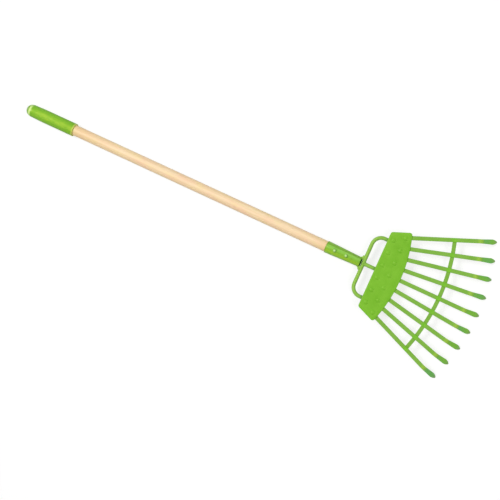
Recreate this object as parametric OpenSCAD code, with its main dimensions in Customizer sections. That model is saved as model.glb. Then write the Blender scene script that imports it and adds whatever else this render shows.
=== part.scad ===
// Child's fan rake for sand and leaves: a wooden pole with a soft grip,
// a steel ferrule, a bent rod yoke and a fan of nine flat steel tines.
// Millimetres. Drawn first along the pole's own axis: x from the grip's
// domed end towards the tines, z towards the upper face of the fan. The
// whole rake is then tipped a little, so that it lies on its grip and on
// its outer tine tips, with the origin under the middle of it.

/* [Grip] */
// Length of the grip sleeve
grip_len = 105; // [80:1:140]
// Outside diameter of the grip over its full part
grip_d = 24.4; // [23.6:0.2:30]
// Outside diameter where the grip meets its domed end
grip_neck_d = 23.2; // [22.8:0.1:23.6]
// Diameter of the domed end
dome_d = 22.6; // [21.6:0.1:22.8]
// Length over which the grip swells to its full diameter
grip_swell_len = 30; // [10:1:50]
// Rounding cut off the open edge of the grip
grip_edge = 0.8; // [0.2:0.1:1.2]

/* [Pole] */
// Diameter of the wooden pole
pole_d = 20; // [16:0.5:20.6]
// Length of the wooden pole, with the ends that the sleeves hide
pole_len = 681; // [400:1:1100]
// Length of the pole's tapered end inside the ferrule
pole_insert = 60; // [50:1:64]

/* [Ferrule] */
// Length of the ferrule tube
ferrule_len = 67.5; // [66:0.5:90]
// Wall of the ferrule tube
ferrule_wall = 1; // [0.8:0.1:1.5]
// Outside diameter of the ferrule at the yoke
ferrule_end_d = 17.9; // [15:0.1:20]
// Distance from the ferrule's mouth to its first rivet
pin_inset = 18.4; // [12:0.1:24]
// Distance between the two ferrule rivets
pin_pitch = 22.6; // [14:0.1:30]
// Diameter of the ferrule rivets' shanks
pin_d = 3.6; // [2.5:0.1:4.5]
// Diameter of the ferrule rivets' heads
pin_head_d = 6.8; // [5.5:0.1:9]
// Height of a ferrule rivet's head over the tube
pin_head_h = 1.7; // [1:0.1:2.5]

/* [Yoke] */
// Diameter of the bent rod and of the centre prong
rod_d = 7; // [5:0.1:8]
// Distance between the middles of the yoke's two arms
yoke_w = 111.8; // [90:0.2:116]
// Radius of the yoke's corners, along the middle of the rod
yoke_corner_r = 17.5; // [10:0.5:24]
// Distance from the middle of the cross rod to the head's straight edge
yoke_depth = 24; // [22:0.2:45]
// Slit between the ferrule's end and the cross rod
yoke_slit = 1.7; // [0.8:0.1:2.5]
// Length of rod that laps under the head
rod_lap = 17; // [12:0.5:22]

/* [Head plates] */
// Width of the head along its straight edge
head_back_w = 143.8; // [134:0.2:160]
// Depth of the head on the middle line
head_depth = 49.7; // [44:0.1:56]
// Angle between each short side of the head and the middle line
head_side_angle = 21.5; // [15:0.5:26]
// Radius of the head's curved edge
head_front_r = 261; // [225:1:320]
// Corner radius of the head
head_corner_r = 4.5; // [1:0.5:5]
// Thickness of the upper head plate
upper_t = 1.5; // [1:0.1:2.5]
// Thickness of the lower head plate
lower_t = 1.2; // [1:0.1:2.5]
// How far the lower head plate stays inside the upper one
lower_inset = 1; // [0.2:0.1:2]

/* [Head rivets] */
// Distance between neighbouring head rivets in a row
rivet_pitch = 23.9; // [18:0.1:28]
// Distance from the straight edge to the row of six
rivet_row_back = 10; // [6.5:0.1:12]
// Distance from the straight edge to the row of seven
rivet_row_front = 28.6; // [24:0.1:31]
// How far that row's end rivets sit inside the outer tines' middle lines
rivet_tine_inset = 1.5; // [0:0.1:2]
// Diameter of the head rivets' shanks
rivet_d = 3.8; // [3:0.1:4.5]
// Diameter of the head rivets' domed heads
rivet_head_d = 8.4; // [6.5:0.1:9]
// Height of the head rivets' domed heads
rivet_head_h = 0.9; // [0.7:0.1:2.6]
// Diameter of the rivets' flush tails in the lower plate
rivet_tail_d = 6; // [5:0.1:7]

/* [Tines] */
// Angle from the first tine to the ninth
fan_angle = 43.2; // [38:0.2:45]
// Distance from the point where all tines aim to the head's curved edge
fan_r = 206.1; // [195:0.1:225]
// Width of a tine
tine_w = 7.4; // [5:0.1:9]
// Thickness of a tine
tine_t = 1.6; // [1:0.1:2.4]
// Straight length of a tine between the head and its bend
tine_free = 118.5; // [95:0.5:160]
// How far a tine's root stays inside the head's straight edge
root_inset = 3.5; // [1.5:0.1:6]
// Angle that a tine's tip is bent down by
tip_bend = 42; // [30:1:70]
// Inside radius of that bend
bend_r = 11; // [5:0.5:16]
// Length of the flat tip past the bend
tip_len = 30; // [22:0.5:45]
// Greatest width of a tip
tip_w = 9.2; // [7.4:0.1:12]
// Length of a tip's pointed end
tip_point = 11; // [7:0.5:14]
// Width left at the very end of a tip
tip_blunt = 1.4; // [0.8:0.1:2]

/* [Cross brace] */
// Distance from the head's curved edge to the brace, on the middle line
brace_pos = 74.5; // [50:0.5:90]
// Radius of the brace's curve
brace_r = 339; // [250:1:400]
// Width of the brace
brace_w = 7.2; // [5:0.1:9]
// Thickness of the brace
brace_t = 1.6; // [1:0.1:2.4]

/* [Hidden] */

// One number for the roundness of everything turned or bored
$fn = 72;
// The same for the brace's long, slight curve
brace_fn = 360;
// Steps along half the head's curved edge, and round its corners
edge_steps = 16;
corner_steps = 6;
// Steps round a tine's bend, and along each side of its pointed end
bend_steps = 12;
arch_steps = 8;
// Number of tines in the fan
tine_count = 9;
// Rivets in the head's two rows
back_rivets = 6;
front_rivets = 7;
// Clearance between a sleeve and what it holds
fit_gap = 0.1;
// Clearance round a rivet's shank
hole_gap = 0.1;
// Overrun of every cut
cut = 1;
// Small overlap of a rivet's head and its foot
seam = 0.05;
// Hair's breadth that keeps a weld off the rods and plates it joins
weld_gap = 0.02;

// Stations along the pole's axis
bore_start = dome_d / 2 + fit_gap;
pole_start = bore_start + fit_gap;
pole_end = pole_start + pole_len;
mouth_x = pole_end - pole_insert;
ferrule_end_x = mouth_x + ferrule_len;
bow_x = ferrule_end_x + yoke_slit + rod_d / 2;
head_x = bow_x + yoke_depth;
edge_x = head_x + head_depth;
fan_x = edge_x - fan_r;
brace_x = edge_x + brace_pos;

// Radii
pole_r = pole_d / 2;
grip_r = grip_d / 2;
dome_r = dome_d / 2;
rod_r = rod_d / 2;
mouth_r = pole_r + fit_gap + ferrule_wall;
ferrule_end_r = ferrule_end_d / 2;
// Radius of the ferrule's outside at a distance from its mouth
function ferrule_r(d) = mouth_r + (ferrule_end_r - mouth_r) * d / ferrule_len;

// Heights of the head's layers over the pole's axis
lower_z = rod_r;
tine_z = lower_z + lower_t;
upper_z = tine_z + tine_t;
head_top = upper_z + upper_t;

// Tines: their directions, and how far out the bend starts
tine_pitch = fan_angle / (tine_count - 1);
function tine_angle(i) = (i - (tine_count + 1) / 2) * tine_pitch;
bend_start = fan_r + tine_free;
// How far the lower face of a tip reaches past the start of the bend, and down
tip_reach = bend_r * sin(tip_bend) + tip_len * cos(tip_bend);
tip_drop = bend_r * (1 - cos(tip_bend)) + tip_len * sin(tip_bend);

// The rake lies on its grip and on the tips of its outer tines
grip_full_x = dome_r + grip_swell_len;
low_tip_z = tine_z - tip_drop;
low_tip_x = fan_x + (bend_start + tip_reach) * cos(fan_angle / 2);
grip_contact_x = low_tip_z < -grip_r ? grip_full_x : grip_len - grip_edge;
rest_tilt = atan2(-grip_r - low_tip_z, low_tip_x - grip_contact_x);
rest_lift = grip_r * cos(rest_tilt) - grip_contact_x * sin(rest_tilt);
// Ends of the whole rake as it lies, for the middle of its length
far_x = fan_x + bend_start + tip_reach + tine_t * sin(tip_bend);
far_z = low_tip_z + tine_t * cos(tip_bend);
lying_end = far_x * cos(rest_tilt) - far_z * sin(rest_tilt);
lying_start = dome_r * cos(rest_tilt) - dome_r;
lying_middle = (lying_start + lying_end) / 2;

// Weld beads
weld_leg = 4.5;
weld_height = 6;
weld_reach_in = 3;
prong_weld_len = 2.6;
prong_weld_grow = 2;
bead_r = 2.3;
bead_inset = 2;
// Where a bead's middle lies, as a share of the rod's radius
bead_share = 0.9;
// Shape of a rivet's peened lower end against its head
tail_share = 0.8;
// Length of each end of the pole's small chamfer, and of the rods'
end_chamfer = 0.8;

wood = "#E8CFA4";
green = "#7CBE35";
grip_green = "#86C832";

// Points of an arc about c, from angle a0 to a1 in n steps
function arc(c, r, a0, a1, n) =
    [for (k = [0 : n]) c + r * [cos(a0 + (a1 - a0) * k / n), sin(a0 + (a1 - a0) * k / n)]];

module as_it_lies() {
    translate([-lying_middle, 0, rest_lift])
        rotate([0, -rest_tilt, 0])
            children();
}

// A cylinder or cone along x, from one station to another
module along_x(x0, x1, r0, r1) {
    translate([x0, 0, 0]) rotate([0, 90, 0])
        cylinder(h = x1 - x0, r1 = r0, r2 = r1);
}

// A round bar along y, centred
module along_y(x, len, r) {
    translate([x, 0, 0]) rotate([90, 0, 0])
        cylinder(h = len, r = r, center = true);
}

// Grip

module grip_sleeve() {
    lip_x = grip_len - grip_edge;
    color(grip_green) as_it_lies() difference() {
        union() {
            translate([dome_r, 0, 0]) sphere(r = dome_r);
            along_x(dome_r, grip_full_x, grip_neck_d / 2, grip_r);
            along_x(grip_full_x, lip_x, grip_r, grip_r);
            along_x(lip_x, grip_len, grip_r, grip_r - grip_edge);
        }
        along_x(bore_start, grip_len + cut, pole_r + fit_gap, pole_r + fit_gap);
    }
}

// Pole

module handle_pole() {
    taper_r = ferrule_r(pole_insert) - ferrule_wall - fit_gap;
    color(wood) as_it_lies() difference() {
        union() {
            along_x(pole_start, pole_start + end_chamfer, pole_r - end_chamfer, pole_r);
            along_x(pole_start + end_chamfer, mouth_x, pole_r, pole_r);
            along_x(mouth_x, pole_end, pole_r, taper_r);
        }
        ferrule_pin_holes();
    }
}

// Ferrule and its rivets

module ferrule_solid() {
    along_x(mouth_x, ferrule_end_x, mouth_r, ferrule_end_r);
}

module ferrule_pin_places() {
    for (d = [pin_inset, pin_inset + pin_pitch])
        translate([mouth_x + d, 0, 0]) children();
}

module ferrule_pin_holes() {
    ferrule_pin_places()
        cylinder(h = 2 * mouth_r + cut, d = pin_d + 2 * hole_gap, center = true);
}

module ferrule() {
    bore_mouth_r = mouth_r - ferrule_wall;
    bore_end_r = ferrule_end_r - ferrule_wall;
    slope = (bore_end_r - bore_mouth_r) / ferrule_len;
    color(green) as_it_lies() difference() {
        ferrule_solid();
        along_x(mouth_x - cut, ferrule_end_x + cut,
                bore_mouth_r - slope * cut, bore_end_r + slope * cut);
        ferrule_pin_holes();
    }
}

// A domed rivet head of a given diameter and height, standing on z = 0,
// with a foot under it of the same diameter
module rivet_head(d, h, foot) {
    ball_r = (d * d / 4 + h * h) / (2 * h);
    rotate_extrude() {
        intersection() {
            translate([0, h - ball_r]) circle(r = ball_r);
            square([d / 2, h]);
        }
        if (foot > 0) translate([0, -foot]) square([d / 2, foot + seam]);
    }
}

// One ferrule rivet: both heads have their feet cut to the round tube
module ferrule_rivet(d) {
    seat_r = ferrule_r(d);
    foot = seat_r - pin_d;
    difference() {
        translate([mouth_x + d, 0, 0]) {
            translate([0, 0, seat_r]) rivet_head(pin_head_d, pin_head_h, foot);
            translate([0, 0, -seat_r]) rotate([180, 0, 0])
                rivet_head(pin_head_d * tail_share, pin_head_h * tail_share, foot);
        }
        along_x(mouth_x - cut, ferrule_end_x + cut,
                ferrule_r(-cut) + weld_gap, ferrule_r(ferrule_len + cut) + weld_gap);
    }
    translate([mouth_x + d, 0, 0])
        cylinder(h = 2 * seat_r + pin_head_h * tail_share, d = pin_d, center = true);
}

module ferrule_rivets() {
    color(green) as_it_lies()
        for (d = [pin_inset, pin_inset + pin_pitch]) ferrule_rivet(d);
}

// Yoke

module bow_cross(r) {
    along_y(bow_x, yoke_w - 2 * yoke_corner_r, r);
}

module yoke_bow() {
    arm_y = yoke_w / 2;
    turn_y = arm_y - yoke_corner_r;
    rod_end_x = head_x + rod_lap;
    color(green) as_it_lies() {
        bow_cross(rod_r);
        for (side = [-1, 1]) {
            translate([bow_x + yoke_corner_r, side * turn_y, 0])
                rotate([0, 0, side > 0 ? 90 : 180])
                    rotate_extrude(angle = 90)
                        translate([yoke_corner_r, 0]) circle(r = rod_r);
            translate([0, side * arm_y, 0]) {
                along_x(bow_x + yoke_corner_r, rod_end_x - end_chamfer, rod_r, rod_r);
                along_x(rod_end_x - end_chamfer, rod_end_x, rod_r, rod_r - end_chamfer);
            }
        }
    }
}

module centre_prong() {
    rod_end_x = head_x + rod_lap;
    color(green) as_it_lies() difference() {
        union() {
            along_x(bow_x, rod_end_x - end_chamfer, rod_r, rod_r);
            along_x(rod_end_x - end_chamfer, rod_end_x, rod_r, rod_r - end_chamfer);
        }
        bow_cross(rod_r + weld_gap);
    }
}

// Welds

module prong_weld() {
    foot_x = bow_x + rod_r;
    color(green) as_it_lies() difference() {
        along_x(bow_x, foot_x + prong_weld_len, rod_r + prong_weld_grow, rod_r + weld_gap * 2);
        bow_cross(rod_r + weld_gap);
        along_x(bow_x - cut, foot_x + prong_weld_len + cut, rod_r + weld_gap, rod_r + weld_gap);
    }
}

// Plan of the web that joins one side of the ferrule's end to the cross rod
module web_plan() {
    side_y = ferrule_end_r;
    difference() {
        translate([ferrule_end_x - weld_leg, side_y - weld_reach_in])
            square([weld_leg + yoke_slit + rod_r, weld_leg + weld_reach_in]);
        translate([ferrule_end_x - weld_leg, side_y + weld_leg])
            circle(r = weld_leg);
    }
}

module ferrule_welds() {
    color(green) as_it_lies() for (side = [0, 1]) mirror([0, side, 0])
        difference() {
            linear_extrude(height = weld_height, center = true) web_plan();
            along_x(mouth_x, ferrule_end_x, mouth_r + weld_gap, ferrule_end_r + weld_gap);
            bow_cross(rod_r + weld_gap);
        }
}

// The beads that hold the three rods under the head
module rod_welds() {
    bead_y = rod_r * bead_share;
    color(green) as_it_lies()
        for (y = [-yoke_w / 2, 0, yoke_w / 2], side = [-1, 1])
            translate([0, y, 0]) difference() {
                translate([0, side * bead_y, lower_z])
                    along_x(head_x + bead_inset, head_x + rod_lap - bead_inset,
                            bead_r, bead_r);
                translate([head_x, -rod_d, lower_z - weld_gap])
                    cube([rod_lap, 2 * rod_d, bead_r + cut]);
                along_x(head_x, head_x + rod_lap, rod_r + weld_gap, rod_r + weld_gap);
            }
}

// Head plates

// Outline of a head plate, inset all round: the straight edge, two short
// sides and a slightly curved edge towards the tines
function head_outline(inset) =
    let (r = head_corner_r,
         a = head_side_angle,
         front_x = edge_x - head_front_r,
         outer_r = head_front_r - inset,
         side_n = [-sin(a), cos(a)],
         back = head_x + inset,
         // The short side is a line; this is its distance from the origin
         side_c = side_n * [head_x, head_back_w / 2] - inset,
         back_c = [back + r, (side_c - r - side_n[0] * (back + r)) / side_n[1]],
         // Front corner: r inside both the side's line and the curved edge
         off = side_c - r - side_n * [front_x, 0],
         reach = sqrt(pow(outer_r - r, 2) - off * off),
         front_c = [front_x, 0] + off * side_n + reach * [cos(a), sin(a)],
         front_a = atan2(front_c[1], front_c[0] - front_x),
         top = concat(
             arc([front_x, 0], outer_r, 0, front_a, edge_steps),
             arc(front_c, r, front_a, 90 + a, corner_steps),
             arc(back_c, r, 90 + a, 180, corner_steps)))
    concat(top, [for (k = [len(top) - 1 : -1 : 1]) [top[k][0], -top[k][1]]]);

// The places of the head's rivets. The end rivets of the front row hold the
// outer tines, so they follow those
module rivet_places() {
    end_y = (head_x + rivet_row_front - fan_x) * tan(fan_angle / 2) - rivet_tine_inset;
    for (k = [0 : back_rivets - 1])
        translate([head_x + rivet_row_back, (k - (back_rivets - 1) / 2) * rivet_pitch, 0])
            children();
    for (k = [1 : front_rivets - 2])
        translate([head_x + rivet_row_front, (k - (front_rivets - 1) / 2) * rivet_pitch, 0])
            children();
    for (y = [-end_y, end_y])
        translate([head_x + rivet_row_front, y, 0]) children();
}

module rivet_holes() {
    rivet_places() translate([0, 0, lower_z - cut])
        cylinder(h = head_top - lower_z + 2 * cut, d = rivet_d + 2 * hole_gap);
}

// The flush tail of a rivet, or with a gap the countersink that takes it
module rivet_tail(gap) {
    translate([0, 0, lower_z - gap])
        cylinder(h = lower_t + gap, d1 = rivet_tail_d + 2 * gap, d2 = rivet_d + 2 * gap);
}

module upper_head_plate() {
    color(green) as_it_lies() difference() {
        translate([0, 0, upper_z]) linear_extrude(height = upper_t)
            polygon(head_outline(0));
        rivet_holes();
    }
}

module lower_head_plate() {
    color(green) as_it_lies() difference() {
        translate([0, 0, lower_z]) linear_extrude(height = lower_t)
            polygon(head_outline(lower_inset));
        rivet_holes();
        rivet_places() rivet_tail(hole_gap);
    }
}

module head_rivets() {
    color(green) as_it_lies() rivet_places() {
        translate([0, 0, head_top]) rivet_head(rivet_head_d, rivet_head_h, 0);
        translate([0, 0, lower_z])
            cylinder(h = head_top - lower_z + rivet_head_h / 2, d = rivet_d);
        rivet_tail(0);
    }
}

// Tines and brace

// A tine from the side, from its root to past its tip; x runs along it, y is
// the height over the lower face of its straight part
function tine_side(root) =
    let (c = [bend_start, -bend_r],
         tip = (tip_len + cut) * [cos(tip_bend), -sin(tip_bend)],
         under = arc(c, bend_r, 90, 90 - tip_bend, bend_steps),
         over = arc(c, bend_r + tine_t, 90 - tip_bend, 90, bend_steps))
    concat([[root, 0]], under, [under[bend_steps] + tip, over[0] + tip],
           over, [[root, tine_t]]);

// A tine seen square to its tip; x is 0 where the tip starts. The tip widens
// and ends in a pointed arch
function tine_plan() =
    let (half = tip_w / 2,
         arch_r = (half * half + tip_point * tip_point) / (2 * half),
         arch_len = sqrt(arch_r * arch_r - pow(arch_r - half + tip_blunt / 2, 2)),
         left = concat(
             [[-bend_start, tine_w / 2], [0, tine_w / 2]],
             arc([tip_len - arch_len, half - arch_r], arch_r,
                 90, acos(arch_len / arch_r), arch_steps)))
    concat(left, [for (k = [len(left) - 1 : -1 : 0]) [left[k][0], -left[k][1]]]);

module tine(i) {
    angle = tine_angle(i);
    root = (head_x + root_inset - fan_x) / cos(angle) + tine_w / 2 * abs(tan(angle));
    color(green) as_it_lies() difference() {
        translate([fan_x, 0, tine_z]) rotate([0, 0, angle]) intersection() {
            rotate([90, 0, 0]) linear_extrude(height = tip_w + cut, center = true)
                polygon(tine_side(root));
            translate([bend_start, 0, -bend_r]) rotate([0, tip_bend, 0])
                translate([0, 0, bend_r])
                    linear_extrude(height = 2 * bend_start, center = true)
                        polygon(tine_plan());
        }
        rivet_holes();
    }
}

module cross_brace() {
    // The brace ends under the outer edges of the outer tines
    outer = tine_angle(tine_count);
    reach = bend_start * 2;
    centre_x = brace_x - brace_r;
    edge = tine_w / 2 / cos(outer);
    color(green) as_it_lies()
        translate([0, 0, tine_z - brace_t]) linear_extrude(height = brace_t)
            intersection() {
                difference() {
                    translate([centre_x, 0]) circle(r = brace_r + brace_w / 2, $fn = brace_fn);
                    translate([centre_x, 0]) circle(r = brace_r - brace_w / 2, $fn = brace_fn);
                }
                polygon([
                    [fan_x, edge],
                    [fan_x, -edge],
                    [fan_x + reach * cos(outer), -edge - reach * sin(outer)],
                    [fan_x + reach * cos(outer), edge + reach * sin(outer)]
                ]);
            }
}

handle_pole();
grip_sleeve();
ferrule();
ferrule_rivets();
ferrule_welds();
yoke_bow();
centre_prong();
prong_weld();
lower_head_plate();
upper_head_plate();
head_rivets();
rod_welds();
cross_brace();
tine(1);  // tine_1
tine(2);  // tine_2
tine(3);  // tine_3
tine(4);  // tine_4
tine(5);  // tine_5
tine(6);  // tine_6
tine(7);  // tine_7
tine(8);  // tine_8
tine(9);  // tine_9
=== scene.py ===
import math

import bmesh
import bpy
from mathutils import Matrix, Vector, noise
from mathutils.geometry import delaunay_2d_cdt


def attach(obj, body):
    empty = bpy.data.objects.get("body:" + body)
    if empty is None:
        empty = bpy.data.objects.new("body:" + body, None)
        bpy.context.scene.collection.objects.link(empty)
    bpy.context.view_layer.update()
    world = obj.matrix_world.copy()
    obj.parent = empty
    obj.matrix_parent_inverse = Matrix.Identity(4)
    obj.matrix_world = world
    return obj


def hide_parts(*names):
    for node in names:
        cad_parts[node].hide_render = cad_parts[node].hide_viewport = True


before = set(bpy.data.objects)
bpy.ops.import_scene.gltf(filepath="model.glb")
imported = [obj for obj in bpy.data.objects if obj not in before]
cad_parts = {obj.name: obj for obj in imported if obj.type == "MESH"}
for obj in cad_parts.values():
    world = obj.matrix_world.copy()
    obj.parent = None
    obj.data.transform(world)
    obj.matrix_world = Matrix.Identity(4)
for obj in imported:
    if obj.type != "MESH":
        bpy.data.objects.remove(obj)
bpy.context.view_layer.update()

# The rake is drawn along the pole's own axis, in metres: x from the grip's domed
# end towards the tines, y across, z up out of the fan. LAY then tips it as it lies.

# Grip
GRIP_LEN = 0.105
GRIP_R = 0.0122
GRIP_NECK_R = 0.0116
DOME_R = 0.0113
GRIP_SWELL_LEN = 0.030
GRIP_EDGE = 0.0008
LIP_LEN = 0.0034
LIP_GROOVE = 0.0003

# Pole and ferrule
POLE_R = 0.010
POLE_LEN = 0.681
POLE_INSERT = 0.060
FERRULE_LEN = 0.0675
FERRULE_WALL = 0.001
FERRULE_END_R = 0.00895
PIN_INSET = 0.0184
PIN_PITCH = 0.0226
PIN_D = 0.0036
PIN_HEAD_D = 0.0068
PIN_HEAD_H = 0.0017
PIN_TAIL_SHARE = 0.8

# Yoke
ROD_R = 0.0035
YOKE_W = 0.1118
YOKE_CORNER_R = 0.0175
YOKE_DEPTH = 0.024
YOKE_SLIT = 0.0017
ROD_LAP = 0.017

# Head plates and their rivets
HEAD_BACK_W = 0.1438
HEAD_DEPTH = 0.0497
HEAD_SIDE_ANGLE = math.radians(21.5)
HEAD_FRONT_R = 0.261
HEAD_CORNER_R = 0.0045
UPPER_T = 0.0015
LOWER_T = 0.0012
LOWER_INSET = 0.001
RIVET_PITCH = 0.0239
RIVET_ROW_BACK = 0.010
RIVET_ROW_FRONT = 0.0286
RIVET_TINE_INSET = 0.0015
BACK_RIVETS = 6
FRONT_RIVETS = 7
RIVET_D = 0.0038
RIVET_HEAD_D = 0.0084
RIVET_HEAD_H = 0.0009
RIVET_TAIL_D = 0.006
DIMPLE_DEPTH = 0.00012
DIMPLE_R = 0.0068

# Tines and brace
TINE_COUNT = 9
FAN_ANGLE = math.radians(43.2)
FAN_R = 0.2061
TINE_W = 0.0074
TINE_T = 0.0016
TINE_FREE = 0.1185
ROOT_INSET = 0.0035
TIP_BEND = math.radians(42)
BEND_R = 0.011
TIP_LEN = 0.030
TIP_W = 0.0092
TIP_POINT = 0.011
TIP_BLUNT = 0.0014
STRIP_EDGE_R = 0.0005
BRACE_POS = 0.0745
BRACE_R = 0.339
BRACE_W = 0.0072
BRACE_T = 0.0016
SPOT_R = 0.0023
SPOT_DEPTH = 0.0002
MARK_FADE = 0.0012

# Welds
BEAD_R = 0.0021
BEAD_INSET = 0.002
BEAD_SHARE = 0.9
BEAD_DROP = ROD_R / 6
BEAD_RIPPLE = 0.0013
BEAD_RIPPLE_SHARE = 0.14
BEAD_TAPER = 0.0015
PRONG_BEAD_R = 0.0013
PRONG_BEAD_RIPPLE = 0.0016
PRONG_BEAD_EASE = 0.28
WEB_FULLNESS = 0.0002
WEB_RIPPLE = 0.0001

# Small clearances and roundings
FIT_GAP = 0.0001
HOLE_GAP = 0.0001
WELD_GAP = 0.00002
END_CHAMFER = 0.0008
PLATE_EDGE_R = 0.0004
RIM_R = 0.0003

# Stations along the pole's axis, and the ferrule's radius at its mouth
BORE_START = DOME_R + FIT_GAP
POLE_START = BORE_START + FIT_GAP
POLE_END = POLE_START + POLE_LEN
MOUTH_X = POLE_END - POLE_INSERT
FERRULE_END_X = MOUTH_X + FERRULE_LEN
BOW_X = FERRULE_END_X + YOKE_SLIT + ROD_R
HEAD_X = BOW_X + YOKE_DEPTH
EDGE_X = HEAD_X + HEAD_DEPTH
FAN_X = EDGE_X - FAN_R
BRACE_X = EDGE_X + BRACE_POS
GRIP_FULL_X = DOME_R + GRIP_SWELL_LEN
ROD_END_X = HEAD_X + ROD_LAP
MOUTH_R = POLE_R + FIT_GAP + FERRULE_WALL

# Places and sizes of the rivets' holes
PIN_STATIONS = (MOUTH_X + PIN_INSET, MOUTH_X + PIN_INSET + PIN_PITCH)
PIN_HOLE_R = PIN_D / 2 + HOLE_GAP
RIVET_HOLE_R = RIVET_D / 2 + HOLE_GAP

# Heights of the head's layers
LOWER_Z = ROD_R
TINE_Z = LOWER_Z + LOWER_T
UPPER_Z = TINE_Z + TINE_T
HEAD_TOP = UPPER_Z + UPPER_T

# The tines' bend, and how the rake lies on its grip and on its outer tips
TINE_PITCH = FAN_ANGLE / (TINE_COUNT - 1)
BEND_START = FAN_R + TINE_FREE
TIP_REACH = BEND_R * math.sin(TIP_BEND) + TIP_LEN * math.cos(TIP_BEND)
TIP_DROP = BEND_R * (1 - math.cos(TIP_BEND)) + TIP_LEN * math.sin(TIP_BEND)
LOW_TIP_Z = TINE_Z - TIP_DROP
LOW_TIP_X = FAN_X + (BEND_START + TIP_REACH) * math.cos(FAN_ANGLE / 2)
REST_TILT = math.atan2(-GRIP_R - LOW_TIP_Z, LOW_TIP_X - GRIP_FULL_X)
REST_LIFT = GRIP_R * math.cos(REST_TILT) - GRIP_FULL_X * math.sin(REST_TILT)
FAR_X = FAN_X + BEND_START + TIP_REACH + TINE_T * math.sin(TIP_BEND)
FAR_Z = LOW_TIP_Z + TINE_T * math.cos(TIP_BEND)
LYING_END = FAR_X * math.cos(REST_TILT) - FAR_Z * math.sin(REST_TILT)
LYING_START = DOME_R * math.cos(REST_TILT) - DOME_R
LAY = (
    Matrix.Translation((-(LYING_START + LYING_END) / 2, 0, REST_LIFT))
    @ Matrix.Rotation(-REST_TILT, 4, "Y")
)

# The camera, from the same axis: where it stands, how far it leans back towards
# the grip and to one side, how it is turned about its own line of sight, and its
# long lens
CAMERA_PLACE = Vector((1.19565, 0.16969, 2.77194))
CAMERA_LEAN = math.radians(13.973)
CAMERA_SIDE_TILT = math.radians(4.675)
CAMERA_ROLL = math.radians(23.959)
CAMERA_LENS = 114.09

# What the shaders take off a place on the laid rake, once it is turned back level
LAID_SHIFT = Matrix.Rotation(REST_TILT, 4, "Y") @ LAY.translation

# Finishes: where the wood's heart lies, how far each tone and each painted shade reaches, how high
# each grain stands, and the colours that the coat and the sleeve tint their soft reflections with
WOOD_HEART = (0, 0.031, 0.022)
YELLOW_BY_GRIP = 0.1
YELLOW_BY_FERRULE = 0.03
PAINTED_SHADE_BY_HEAD = 0.007
MOUTH_TINT_START = 0.0004
MOUTH_TINT_END = 0.0022
GRAIN_HEIGHT = 0.00006
HILL_HEIGHT = 0.00018
PEEL_HEIGHT = 0.00005
FLOW_HEIGHT = 0.00012
LEATHER_HEIGHT = 0.00002
COAT_GLEAM = (1.0, 1.0, 0.3, 1.0)
SLEEVE_GLEAM = (1.0, 1.0, 0.15, 1.0)

# Fineness of the meshes, what counts as a crease, and how near two points are one
TURNED_SIDES = 96
ROD_SIDES = 36
BEAD_SIDES = 14
HOLE_SIDES = 32
PRONG_BEAD_POINTS = 120
EDGE_STEPS = 28
BEND_STEPS = 28
CORNER_STEPS = 6
ROUND_STEPS = 3
STRIP_STEPS = 10
POLE_STEPS = 24
CHAMFER_STEPS = 5
DOME_STEPS = 28
SHOULDER_STEPS = 4
SWELL_STEPS = 16
GROOVE_STEPS = 8
LIP_STEPS = 6
TINE_STATIONS = 260
TINE_CROWDING = 1.5
BRACE_STATIONS = 220
RIVET_STATIONS = 26
SHANK_STATIONS = 24
BEAD_STEP = 0.00025
WEB_VOXEL = 0.00028
WEB_SOFTENINGS = 5
PLATE_RINGS = (0.0052, 0.006)
PLATE_GRID = 0.006
PLATE_MARGIN = 0.004
CREASE = math.radians(38)
MERGE_GAP = 1e-6
SAME_PLACE = 1e-7

# The floor: half its side, where its shadow starts to fade and where it is gone, the
# greys that light the rake and that the camera sees, and the light that whitens those
FLOOR_HALF = 4.0
SHADOW_FADE = (0.4, 0.7)
WHITE = (1, 1, 1, 1)
DULL_GREY = (0.5, 0.5, 0.5, 1)
SEEN_GREY = (0.3, 0.3, 0.3, 1)
SEEN_LIFT = 0.75

# The light: how strongly the surround lights, and the soft lamps, each with its name,
# its direction, its share of plain daylight, its size, its tint and how far it stands
SURROUND = 0.32
LAMPS = (
    ("key", (-0.53, 0.06, 1.0), 0.46, 2.0, (1.0, 1.0, 1.0), 6.0),
    ("front", (0.7, 0.05, 1.0), 0.24, 1.8, (1.0, 0.97, 0.88), 6.0),
    ("warm_side", (-0.1, -1.0, 0.85), 0.04, 0.4, (1.0, 0.97, 0.8), 3.0),
    ("cool_side", (-0.1, 1.0, 0.7), 0.1, 0.4, (0.86, 1.0, 1.0), 3.0),
    ("end", (-1.0, 0.0, 0.12), 0.05, 0.5, (1.0, 1.0, 1.0), 3.0),
)

# The camera's sensor, and how near and far the camera sees
SENSOR = 36.0
NEAREST = 0.05
FARTHEST = 50.0


# Numbers on sockets, and nodes

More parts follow.
